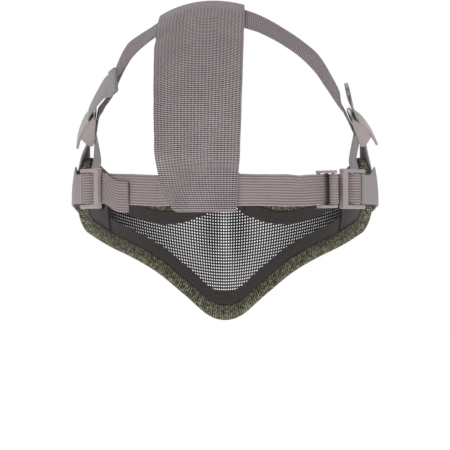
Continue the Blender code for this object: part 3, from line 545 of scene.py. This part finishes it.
# %% Buckle frames
BUCKLES = {
    "left": frame_of(Vector((96, 8.5, 2.4)) * MM, Vector((-0.572, 0.82, 0)), Vector((0.82, 0.572, 0))),
    "right": frame_of(Vector((-92.8, 10.5, 2.2)) * MM, Vector((0.70, 0.714, 0)), Vector((-0.714, 0.70, 0))),
}
LOCKS = {
    "left": frame_of(Vector((91.5, -6, 38)) * MM, Vector((-0.12, 0.40, 0.91)), Vector((0.98, 0.1, 0.08))),
    "right": frame_of(Vector((-92.5, -6, 38)) * MM, Vector((0.36, 0.42, 0.83)), Vector((-0.92, 0.1, 0.36))),
}
LOOP = 2.4 * MM
OUTER, TAB, INNER, FOOT = 3.8 * MM, 5.6 * MM, -4.8 * MM, 3.3 * MM

# %% Cheek and upper tabs
for word, side in (("left", 1), ("right", -1)):
    buckle, lock = BUCKLES[word], LOCKS[word]
    turn = arc(0, 0, LOOP, 90, -90)
    inner = [(-2.5 * MM, -2.0 * MM), (-5 * MM, -0.6 * MM), (-7.5 * MM, 0.7 * MM)]
    columns = []
    for share in (-1, -0.5, 0, 0.5, 1):
        points = []
        for s in (119, 124, 131, 134.5, 138, 144, 151, 158, 163.5):
            rise = min(1.0, max(0.0, (s - 131) / 7))
            z = END_Z - 10.5 * MM * min(1, (163 - s) / 37.5) + share * 12.5 * MM
            points.append(shell_point(side * s * MM, z, FOOT + (TAB - FOOT) * rise))
        narrow = side * share * 10 * MM
        points.append(buckle @ Vector((-5 * MM, narrow, LOOP + 0.3 * MM)))
        columns.append(points + [buckle @ Vector((u, narrow, n)) for u, n in (*turn, *inner)])
    tab = ribbon(f"cheek_tab_cloth_{word}", [list(r) for r in zip(*columns)], 1.2 * MM, TAB_CLOTH, steps=3)
    cloth_of(tab, "mask", ["cheek_tab_" + word])
    turn = arc(0, 0, LOOP, -90, 90)
    columns = []
    for share in (-1, -0.5, 0, 0.5, 1):
        s = side * (150 - share * 10) * MM
        narrow = side * share * 10 * MM
        levels = [z * MM for z in (-9, -2, 5, 12, 19, 25)]
        inside = [shell_point(s, z, INNER) for z in levels]
        outside = [shell_point(s, z, OUTER) for z in reversed(levels)]
        columns.append(inside + [lock @ Vector((u, narrow, n)) for u, n in turn] + outside)
    tab = ribbon(f"upper_tab_cloth_{word}", [list(r) for r in zip(*columns)], 1.2 * MM, TAB_CLOTH, steps=3)
    cloth_of(tab, "mask", ["upper_tab_" + word])

# %% [markdown]
# ## The nape elastic
# One ribbed elastic goes round the nape. At each end it passes under the buckle's rail, round its crossbar and
# back out as a second layer. On the left that layer ends in a sewn tail, on the right it goes on to the slider.

# %% The nape elastic
THICK, WIDE = 1.5 * MM, 20 * MM
RETURN, NAPE = -2.85 * MM, -4.95 * MM
CIRCLE, CIRCLE_R = Vector((0, 28, 0)) * MM, 58 * MM


def nape_run(buckle, side):
    end = buckle @ Vector((24 * MM, 0, NAPE))
    flat = end - CIRCLE
    angle = atan2(flat.y, flat.x) + side * acos(CIRCLE_R / hypot(flat.x, flat.y))
    touch = CIRCLE + CIRCLE_R * Vector((cos(angle), sin(angle), 0))
    return end, touch, angle


left_end, left_touch, left_angle = nape_run(BUCKLES["left"], 1)
right_end, right_touch, right_angle = nape_run(BUCKLES["right"], -1)
sweep = right_angle % (2 * pi) - left_angle
bow = [left_angle + sweep * i / 40 for i in range(41)]
bow = [CIRCLE + CIRCLE_R * Vector((cos(a), sin(a), 0)) for a in bow]
middle = [left_end, left_end.lerp(left_touch, 0.5), *bow, right_end.lerp(right_touch, 0.5), right_end]
rows = [[c - WIDE / 2 * UP, c + WIDE / 2 * UP] for c in middle]
nape = ribbon("nape_elastic_cloth", rows, THICK, ELASTIC_CLOTH, steps=3, across=12, waver=0.3)
cloth_of(nape, "mask", ["nape_elastic"])

# %% The ends round the buckles
WRAP = [
    (23.6 * MM, NAPE), (16 * MM, NAPE), (11.8 * MM, NAPE + 1.2 * MM), *arc(6.8 * MM, 0, 2.55 * MM, -70, -290, 10),
    (10.8 * MM, 1.4 * MM), (13.8 * MM, RETURN + 1.2 * MM), (17 * MM, RETURN), (23 * MM, RETURN),
]


def layer_on(end, touch, side, length, drop, across):
    along = (touch - end).normalized()
    out = along.cross(UP).normalized() * side
    start = end + 2.1 * MM * out
    rows = []
    for i in range(1, 8):
        c = start + along * length * i / 7 - drop * min(1, 2 * i / 7) * UP
        rows.append([c - across, c + across])
    return rows, along, out


across = WIDE / 2 * BUCKLES["left"].col[1].xyz
tail, along, out = layer_on(left_end, left_touch, 1, 26 * MM, 5 * MM, across)
wrap = ribbon("elastic_end_left", placed(BUCKLES["left"], WRAP, WIDE) + tail, THICK, ELASTIC_CLOTH, 3, 12)
cloth_of(wrap, None, ["nape_loop_left"])
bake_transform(wrap)
a, b = tail[-2]
stitches("tail_bar_tack", [a.lerp(b, 0.08), b.lerp(a, 0.3)], out * 0.9 * MM, "mask", every=1.4, long=1.2)

wrap = ribbon("elastic_end_right", placed(BUCKLES["right"], WRAP, WIDE), THICK, ELASTIC_CLOTH, 3, 12)
cloth_of(wrap, None, ["nape_loop_right"])
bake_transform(wrap)

# %% The layer that goes to the slider
run = (right_touch - right_end).normalized()
slider = frame_of(right_end + run * 11 * MM, run, Vector((-run.y, run.x, 0)))
BAR_AT = (THICK * 1.5 + 1.2 * MM + 0.35 * MM + 1.2 * MM + 1.2 * MM)
route = [(-11.5 * MM, 2.2 * MM), (-8.5 * MM, 2.2 * MM), (-5.5 * MM, 3.4 * MM), (-3.0 * MM, BAR_AT + 1.0 * MM)]
route += arc(0, BAR_AT, 2.15 * MM, 130, -110, 9) + [(-3.0 * MM, BAR_AT - 2.2 * MM), (-5.0 * MM, 2.3 * MM)]
rows = placed(slider, route, WIDE)
band = ribbon("slider_band_cloth", rows, 1.2 * MM, ELASTIC_CLOTH, 3, 12)
cloth_of(band, None, ["slider_band"])
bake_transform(band)

# %% [markdown]
# ## Over the head
# The crown strap lies on the head between the two ladder locks. Each end goes round its lock's crossbar and comes
# out over the top bar as a free tail.

# %% The crown strap
HEAD_CENTRE, HEAD_RADII = Vector((0, 4, 40)) * MM, Vector((76, 93, 91)) * MM
PANEL_LEFT, PANEL_RIGHT, LIFT = 42.3 * MM, -10 * MM, 3.0 * MM
CROWN_LEFT = (
    ((81, 13, 58), (80, -5, 67)), ((75, 15.5, 66), (77, -2.5, 77)), ((70.7, 18.5, 75.6), (73.5, 1.5, 87)),
    ((65.5, 27, 83.5), (68, 10, 97)), ((59.5, 35.5, 90), (62.5, 17, 102.5)),
)
CROWN_RIGHT = (
    ((-23.5, 69.8, 99.4), (-27.8, 52.7, 111.3)), ((-36.4, 66.3, 93.5), (-42.2, 49.6, 102.7)),
    ((-48.1, 60.5, 85.8), (-52.3, 43, 97)), ((-58.3, 52.4, 77.1), (-61.5, 36, 90)),
    ((-66, 43.5, 68.1), (-69.5, 27, 79)), ((-74.5, 31, 58), (-76.5, 13.5, 68.5)),
    ((-80, 16.1, 53.7), (-78.6, -1.8, 62.1)),
)


def head_point(x, tilt, lift):
    share = sqrt(1 - (x / HEAD_RADII.x) ** 2)
    away = Vector((x, HEAD_RADII.y * share * sin(tilt), HEAD_RADII.z * share * cos(tilt)))
    normal = Vector([d / r**2 for d, r in zip(away, HEAD_RADII)]).normalized()
    return HEAD_CENTRE + away + lift * normal


def tilt_over(x, length):
    return length / (HEAD_RADII.y * sqrt(1 - (x / HEAD_RADII.x) ** 2))


def crown_tilt(x):
    t = (x - PANEL_RIGHT) / (PANEL_LEFT - PANEL_RIGHT)
    return radians(40.7) + radians(32 - 40.7) * t


def edge_pair(rear, front):
    rear, front = Vector(rear) * MM, Vector(front) * MM
    centre, over = (rear + front) / 2, (front - rear).normalized()
    return [centre - over * 10 * MM, centre + over * 10 * MM]


middle = []
for i in range(6):
    x = PANEL_LEFT + 4 * MM - (PANEL_LEFT - PANEL_RIGHT + 8 * MM) * i / 5
    half = tilt_over(x, 10 * MM)
    middle.append([head_point(x, crown_tilt(x) + half, LIFT), head_point(x, crown_tilt(x) - half, LIFT)])
rows = [edge_pair(*p) for p in CROWN_LEFT] + middle + [edge_pair(*p) for p in CROWN_RIGHT]
crown = ribbon("crown_strap_cloth", rows, 1.2 * MM, STRAP_CLOTH, steps=8, across=10, waver=0.3)
cloth_of(crown, "mask", ["crown_strap"])

# %% Leads and tails at the ladder locks
TAILS = {
    "left": (((82, 22, 62), (83, 2, 76)), ((76, 29, 63), (78, 13, 80)), ((71.5, 33, 66), (73, 23, 82.5))),
    "right": (((-83.5, 13, 62), (-84, -6, 68)), ((-82, 14, 69), (-82.5, -5, 74))),
}
for word, pair in (("left", CROWN_LEFT[0]), ("right", CROWN_RIGHT[-1])):
    lock = LOCKS[word]
    route = [*arc(8 * MM, 0, LOOP, -270, -90, 8), (18 * MM, -3.0 * MM)]
    rows = placed(lock, route, 20 * MM)
    rear, front = edge_pair(*pair)
    if (rows[-1][0] - rear).length > (rows[-1][1] - rear).length:
        rows = [[b, a] for a, b in rows]
    a, b = rows[-1]
    rows += [[a.lerp(rear, 0.5), b.lerp(front, 0.5)], [a.lerp(rear, 1.0), b.lerp(front, 1.0)]]
    lead = ribbon(f"crown_lead_cloth_{word}", rows, 1.2 * MM, STRAP_CLOTH, steps=3)
    cloth_of(lead, None, ["crown_lead_" + word])
    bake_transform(lead)
    rows = placed(lock, [(8.4 * MM, LOOP), (13.4 * MM, LOOP + 0.2 * MM)], 20 * MM)
    top = placed(lock, [(19 * MM, LOOP + 0.6 * MM)], 20 * MM)
    if (rows[0][0] - rows[0][1]).y < 0:
        rows, top = [[b, a] for a, b in rows], [[b, a] for a, b in top]
    rows += top + [[Vector(p) * MM for p in pair] for pair in TAILS[word]]
    rows = hem(rows, Vector((1 if word == "left" else -1, 0.6, 0.2)), length=7 if word == "left" else 14, rise=1.7)
    tail = ribbon(f"crown_tail_cloth_{word}", rows, 1.2 * MM, TAB_CLOTH, steps=5)
    cloth_of(tail, "lock_" + word, ["crown_tail_" + word])

# %% [markdown]
# ## The back panel
# Wide basket-weave webbing. It folds over the crown strap at the top and round the nape elastic at its foot, and
# each fold is sewn back on itself.

# %% The back panel
top_bend, foot_bend, hug = 2.3 * MM, 2.45 * MM, 0.95 * MM
REACH, RETURN_SEWN, EDGE = 10.9 * MM, 6 * MM, 10.9 * MM
PANEL_EDGES = (
    (-14, -6.9, 30), (-10, -6.9, 33.5), (0, -7.5, 38), (9.5, -8, 40.5), (19, -8.6, 42), (60, -9.9, 42.4),
    (100, -11.4, 42.6), (112, -11.6, 41), (124, -11.6, 39.5),
)


def panel_x(share, z):
    """The side place of a point of the panel, from its right edge (0) to its left (1), at that height."""
    z = min(max(z / MM, PANEL_EDGES[0][0]), PANEL_EDGES[-1][0])
    low, high = next((a, b) for a, b in zip(PANEL_EDGES, PANEL_EDGES[1:]) if z <= b[0])
    t = (z - low[0]) / (high[0] - low[0])
    right, left = (low[k] + (high[k] - low[k]) * t for k in (1, 2))
    return (right + (left - right) * share) * MM


def over_head(share, length, lift):
    x = panel_x(share, 107 * MM)
    for _ in range(3):
        tilt = crown_tilt(x) + tilt_over(x, length)
        x = panel_x(share, HEAD_CENTRE.z + HEAD_RADII.z * cos(tilt))
    return head_point(x, crown_tilt(x) + tilt_over(x, length), lift)


def round_nape(share, out, z):
    r = CIRCLE_R + out
    angle = acos(panel_x(share, z) / CIRCLE_R)
    return Vector((r * cos(angle), CIRCLE.y + r * sin(angle), z))


columns = []
for j in range(15):
    share = j / 14
    points = [over_head(share, REACH + RETURN_SEWN * k, LIFT - hug) for k in (1.6, 1)]
    points += [over_head(share, REACH * k, LIFT - top_bend) for k in (1, 0.5, 0, -0.5)]
    for turn in (-90, -130, -180, -230, -270):
        lean = top_bend * cos(radians(turn))
        points.append(over_head(share, lean - REACH, LIFT + top_bend * sin(radians(turn))))
    points += [over_head(share, REACH * k, LIFT + top_bend) for k in (-0.5, 0, 0.5, 1)]
    points += [over_head(share, REACH + RETURN_SEWN * k, LIFT + hug) for k in (1, 1.6)]
    x = panel_x(share, 90 * MM)
    start = crown_tilt(x) + tilt_over(x, REACH + RETURN_SEWN * 2.4)
    for i in range(7):
        tilt = start + (radians(103) - start) * i / 6
        x = panel_x(share, HEAD_CENTRE.z + HEAD_RADII.z * cos(tilt))
        points.append(head_point(x, tilt, LIFT + hug * (1 - i / 8)))
    points += [round_nape(share, foot_bend, z) for z in (EDGE, 0, -EDGE)]
    for turn in (-40, -90, -140):
        bend = foot_bend * cos(radians(turn)), foot_bend * sin(radians(turn))
        points.append(round_nape(share, bend[0], -EDGE + bend[1]))
    points += [round_nape(share, -foot_bend, z) for z in (-EDGE, 0, EDGE - 1 * MM)]
    columns.append(points)
rows = [list(r) for r in zip(*columns)]
panel = ribbon("back_panel_cloth", rows, 1.3 * MM, PANEL_CLOTH, steps=5, across=28, waver=0.2)
panel.data.materials.append(FOLD_CLOTH)
for f in panel.data.polygons:
    v = sum(panel.data.uv_layers[0].data[k].uv.y for k in f.loop_indices) / len(f.loop_indices)
    f.material_index = 1 if v < 50 else 0
cloth_of(panel, "panel", ["back_panel"])

# %% [markdown]
# ## The hardware
# The ladder locks are moulded in one piece, so they are drawn again with rounded edges and a curved thumb lip.
# The buckles, slider, rivets and washers are the CAD's own pieces, and only get their finishes here.


# %% Ladder locks
def rounded(bm, name, offset=0.5, segments=3):
    obj = finished(bm, name, PLASTIC)
    bevel = obj.modifiers.new("moulded edges", "BEVEL")
    bevel.width, bevel.segments, bevel.limit_method, bevel.angle_limit = offset * MM, segments, "ANGLE", radians(35)
    return obj


CHEEK = (
    (-1.9, 0.9), (-1.2, -1.3), (0.6, -1.7), (17.2, -1.7), (18.7, -0.6), (18.7, 0.8), (16.0, 2.6), (12.6, 4.6),
    (8.0, 6.4), (3.0, 7.4), (0.0, 4.0),
)
LIP = ((15.2, 3.0), (12.0, 4.9), (8.0, 6.6), (3.0, 8.0), (-1.5, 8.9), (-4.6, 9.3))
for word, lock in LOCKS.items():
    pieces = []
    for side in (-1, 1):
        bm = bmesh.new()
        bmesh.ops.create_circle(bm, segments=len(CHEEK), radius=1, cap_ends=True)
        bm.verts.ensure_lookup_table()
        for v, (u, n) in zip(bm.verts, CHEEK):
            v.co = Vector((u, side * 12.0 - 1.3, n)) * MM
        made = bmesh.ops.extrude_face_region(bm, geom=bm.faces[:])["geom"]
        for v in made:
            if isinstance(v, bmesh.types.BMVert):
                v.co.y += 2.6 * MM
        pieces.append(rounded(bm, f"lock_cheek_{word}_{'front' if side * lock.col[1].y < 0 else 'rear'}", 0.6))
    for k, u in enumerate((0, 8, 17)):
        bm = bmesh.new()
        turn = Matrix.Translation((u * MM, 0, 0)) @ Matrix.Rotation(pi / 2, 4, "X")
        bmesh.ops.create_cone(
            bm, cap_ends=True, segments=20, radius1=1.5 * MM, radius2=1.5 * MM, depth=23 * MM, matrix=turn
        )
        pieces.append(rounded(bm, f"lock_bar_{word}_{k}", 0.2, 2))
    for piece in pieces:
        piece.data.transform(lock)
    route = [[Vector((u, -w, n)) * MM for w in (12.9 if u > 4 else 12.2, 0, -12.9 if u > 4 else -12.2)] for u, n in LIP]
    lip = ribbon(f"lock_lip_{word}", [[lock @ p for p in row] for row in route], 1.7 * MM, PLASTIC, 5, 10, 0, 0.7)
    for piece in [*pieces, lip]:
        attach(piece, "lock_" + word)
        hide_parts("upper_lock_" + word)

# %% The other hardware's finishes
for name, node in frame["nodes"].items():
    if "buckle" in name or name == "slider_right":
        node.data.materials.clear()
        node.data.materials.append(PLASTIC)
    elif "rivet" in name or "washer" in name:
        node.data.materials.clear()
        node.data.materials.append(RIVETS)

# %% [markdown]
# ## Studio
# A white room: a pale floor where a display stand would be, a large soft light over the camera's left shoulder, a
# weaker one on the right and a white backdrop that only the camera sees.

# %% Studio
bm = bmesh.new()
bmesh.ops.create_grid(bm, x_segments=1, y_segments=1, size=0.9)
floor_material, tree, shader = new_material("pale floor")
shader.inputs["Base Color"].default_value = colour("#f6f6f6")
shader.inputs["Roughness"].default_value = 0.9
shader.inputs["Emission Color"].default_value = (1, 1, 1, 1)
shader.inputs["Emission Strength"].default_value = 0.5
floor = finished(bm, "floor", floor_material, smooth=False)
floor.location = (0, 0, -0.161)


def soft_light(name, place, size, power):
    data = bpy.data.lights.new(name, "AREA")
    data.shape, data.size, data.energy = "DISK", size, power
    lamp = bpy.data.objects.new(name, data)
    scene.collection.objects.link(lamp)
    lamp.location = place
    lamp.rotation_euler = (Vector((0, 0.02, 0.02)) - Vector(place)).to_track_quat("-Z", "Y").to_euler()
    return lamp


soft_light("key", (0.9, 1.5, 1.1), 1.0, 14.5)
soft_light("fill", (-1.3, 1.2, 0.5), 1.0, 8)
soft_light("front rim", (0.3, -1.4, 1.2), 1.0, 10)

world = bpy.data.worlds.new("studio")
scene.world = world
world.use_nodes = True
tree = world.node_tree
tree.nodes.clear()
rays = add_node(tree, "ShaderNodeLightPath")
seen = add_node(tree, "ShaderNodeMath", operation="MAXIMUM", in_0=rays.outputs["Is Camera Ray"], in_1=rays.outputs["Is Glossy Ray"])
seen = add_node(tree, "ShaderNodeMath", operation="MAXIMUM", in_0=seen.outputs[0], in_1=rays.outputs["Is Transmission Ray"])
fill = add_node(tree, "ShaderNodeBackground", in_0=(1, 1, 1, 1), in_1=0.36)
white = add_node(tree, "ShaderNodeBackground", in_0=(1, 1, 1, 1), in_1=1.0)
both = add_node(tree, "ShaderNodeMixShader", in_0=seen.outputs[0], in_1=fill.outputs[0], in_2=white.outputs[0])
add_node(tree, "ShaderNodeOutputWorld", in_0=both.outputs[0])
scene.view_settings.view_transform = "Standard"

# %% [markdown]
# ## Camera
# A long lens one metre behind the wearer's head, level with the bottom of the ears.

# %% Camera
camera = bpy.data.objects.new("camera", bpy.data.cameras.new("camera"))
scene.collection.objects.link(camera)
camera.data.lens, camera.data.sensor_width = 116.7, 36
camera.data.clip_start = 0.05
camera.location = (0, 0.997, -0.022)
camera.rotation_euler = (radians(90), 0, radians(180))
scene.camera = camera
scene.render.resolution_x = scene.render.resolution_y = 450
